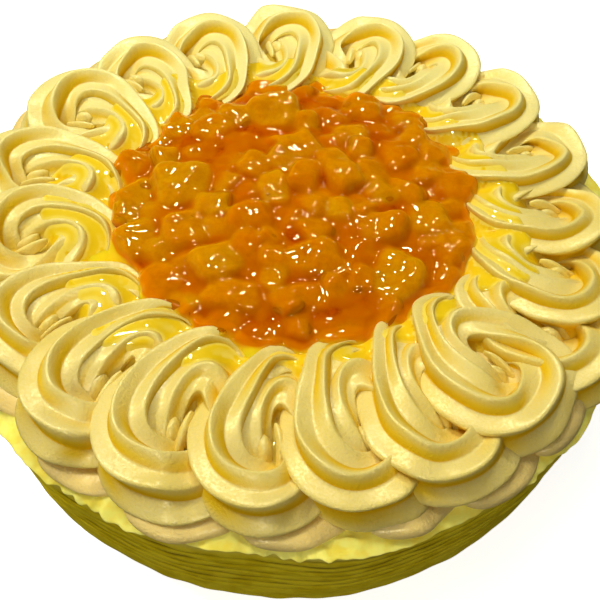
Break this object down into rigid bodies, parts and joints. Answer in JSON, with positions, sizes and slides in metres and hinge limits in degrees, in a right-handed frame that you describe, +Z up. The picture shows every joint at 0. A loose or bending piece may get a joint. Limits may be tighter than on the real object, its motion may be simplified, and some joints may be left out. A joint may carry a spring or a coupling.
{
  "type": "mango cake",
  "caption": "Uncut round cake with a combed lemon-yellow cream coating, a border of overlapping piped cream rosettes and a middle heaped with diced mango in set glaze.",
  "frame": {"origin": "centre of the flat underside of the cake", "axes": "+Z up along the cake's axis; the side seen in the picture faces -Y"},
  "size_m": [0.223, 0.223, 0.0658],
  "materials": {
    "lemon_cream": "satin",
    "piped_cream": "satin",
    "glazed_mango": "gloss"
  },
  "bodies": {
    "root": {"iced_cake": "lemon_cream", "mango_in_glaze": "glazed_mango", "rosette_01": "piped_cream", "rosette_02": "piped_cream", "rosette_03": "piped_cream", "rosette_04": "piped_cream", "rosette_05": "piped_cream", "rosette_06": "piped_cream", "rosette_07": "piped_cream", "rosette_08": "piped_cream", "rosette_09": "piped_cream", "rosette_10": "piped_cream", "rosette_11": "piped_cream", "rosette_12": "piped_cream", "rosette_13": "piped_cream", "rosette_14": "piped_cream", "rosette_15": "piped_cream", "rosette_16": "piped_cream", "rosette_17": "piped_cream", "rosette_18": "piped_cream", "rosette_19": "piped_cream", "rosette_20": "piped_cream"}
  },
  "joints": []
}
